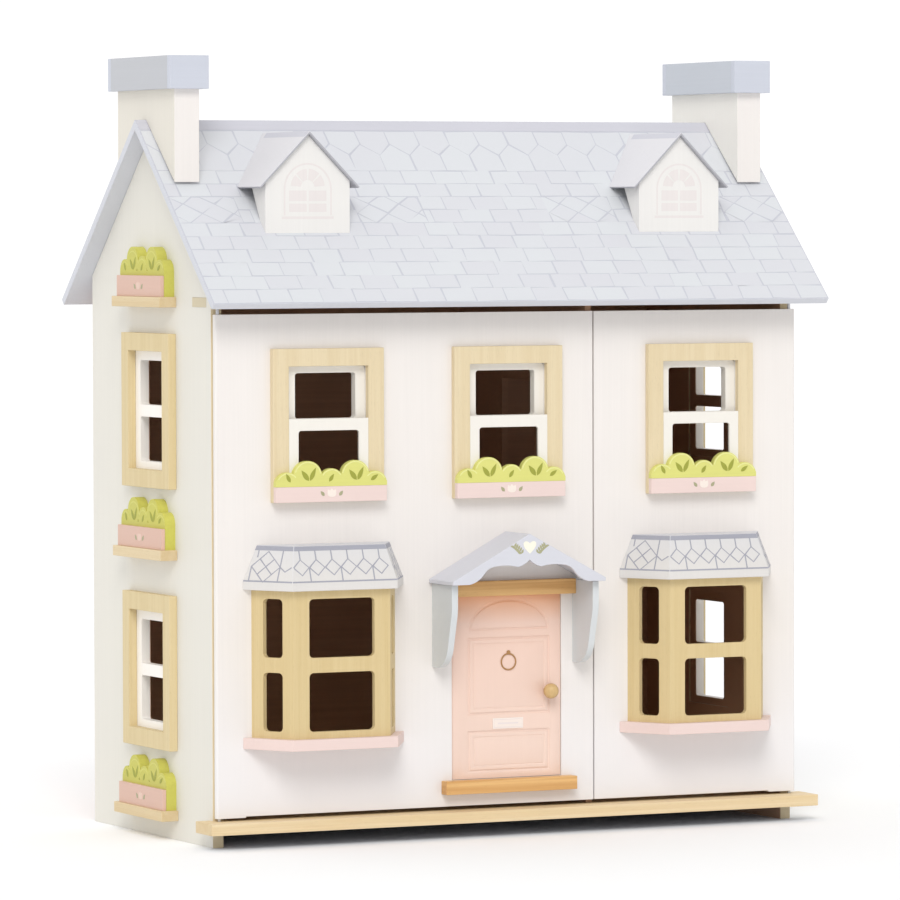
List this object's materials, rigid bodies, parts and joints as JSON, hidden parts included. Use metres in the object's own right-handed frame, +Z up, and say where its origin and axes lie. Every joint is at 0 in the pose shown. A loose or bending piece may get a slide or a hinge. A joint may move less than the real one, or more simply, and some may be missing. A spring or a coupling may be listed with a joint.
{
  "type": "wooden dollhouse",
  "caption": "Wooden dollhouse with hinged front panels, framed windows, bay windows, a canopied front door, planters, a lift-off gable roof with dormers and chimneys.",
  "frame": {"origin": "centre of the bounding box at ground level", "axes": "+Z up, the front with the door faces -Y, +X to the right seen from the front"},
  "size_m": [0.596, 0.3546, 0.6795],
  "materials": {
    "white_board": "white painted board with a faint printed grain",
    "brown_board": "dark brown interior finish",
    "base_board": "bare light wood",
    "white_sash": "white painted sash bars",
    "steel": "plain steel pin",
    "green_paint": "printed leaf green on cut board",
    "pink_paint": "pale pink paint",
    "door_pink": "pale pink paint with routed panels",
    "pale_plate": "pale printed plate",
    "honey_wood": "clear varnished honey wood",
    "canopy_blue": "pale blue grey paint with a cream flower print",
    "tan_wood": "bare light wood",
    "lattice_print": "printed lattice on pale blue grey",
    "slate_print": "printed slate courses on pale blue grey",
    "dormer_print": "white front and blue grey cheeks",
    "chimney_white": "white painted board",
    "cap_grey": "pale blue grey painted strips"
  },
  "bodies": {
    "house": {"side_wall_left": "white_board", "side_wall_right": "white_board", "back_panel": "brown_board", "base_floor": "base_board", "first_floor": "brown_board", "attic_floor": "white_board", "ground_partition": "brown_board", "upper_partition": "brown_board", "staircase": "brown_board", "left_window_frames": "tan_wood", "left_window_sashes": "white_sash", "right_window_frames": "tan_wood", "right_window_sashes": "white_sash", "left_planter_shelves": "tan_wood", "left_planter_boxes": "pink_paint", "left_planter_foliage": "green_paint", "right_planter_shelves": "tan_wood", "right_planter_boxes": "pink_paint", "right_planter_foliage": "green_paint", "panel_hinge_pins": "steel"},
    "front_left": {"front_panel_left": "white_board", "window_1_frame": "tan_wood", "window_1_sash": "white_sash", "planter_1_box": "pink_paint", "planter_1_foliage": "green_paint", "window_2_frame": "tan_wood", "window_2_sash": "white_sash", "planter_2_box": "pink_paint", "planter_2_foliage": "green_paint", "bay_window_left": "tan_wood", "bay_roof_left": "lattice_print", "bay_sill_left": "pink_paint", "canopy_fascia": "canopy_blue", "canopy_roof": "canopy_blue", "canopy_brackets": "canopy_blue", "door_lintel": "honey_wood", "door_step": "honey_wood", "door_hinge_pins": "steel"},
    "front_door": {"door_leaf": "door_pink", "door_knob": "honey_wood", "letter_plate": "pale_plate"},
    "front_right": {"front_panel_right": "white_board", "window_3_frame": "tan_wood", "window_3_sash": "white_sash", "planter_3_box": "pink_paint", "planter_3_foliage": "green_paint", "bay_window_right": "tan_wood", "bay_roof_right": "lattice_print", "bay_sill_right": "pink_paint"},
    "roof": {"roof_front": "slate_print", "roof_back": "slate_print", "dormer_left": "dormer_print", "dormer_left_roof": "slate_print", "dormer_right": "dormer_print", "dormer_right_roof": "slate_print", "roof_cleats": "tan_wood"},
    "chimney_left": {"chimney_left_shaft": "chimney_white", "chimney_left_cap": "cap_grey"},
    "chimney_right": {"chimney_right_shaft": "chimney_white", "chimney_right_cap": "cap_grey"}
  },
  "joints": [
    {"name": "front_left_hinge", "type": "hinge", "parent": "house", "child": "front_left", "pos_m": [-0.278, -0.1253, 0.24], "axis": [0, 0, -1], "range_deg": [0, 165]},
    {"name": "front_right_hinge", "type": "hinge", "parent": "house", "child": "front_right", "pos_m": [0.278, -0.1253, 0.24], "axis": [0, 0, 1], "range_deg": [0, 165]},
    {"name": "front_door_hinge", "type": "hinge", "parent": "front_left", "child": "front_door", "pos_m": [-0.0555, -0.1253, 0.13], "axis": [0, 0, -1], "range_deg": [0, 90]},
    {"name": "roof_lift", "type": "slide", "parent": "house", "child": "roof", "axis": [0, 0, 1], "range_m": [0, 0.25]},
    {"name": "chimney_left_lift", "type": "slide", "parent": "roof", "child": "chimney_left", "axis": [0, 0, 1], "range_m": [0, 0.1]},
    {"name": "chimney_right_lift", "type": "slide", "parent": "roof", "child": "chimney_right", "axis": [0, 0, 1], "range_m": [0, 0.1]}
  ]
}
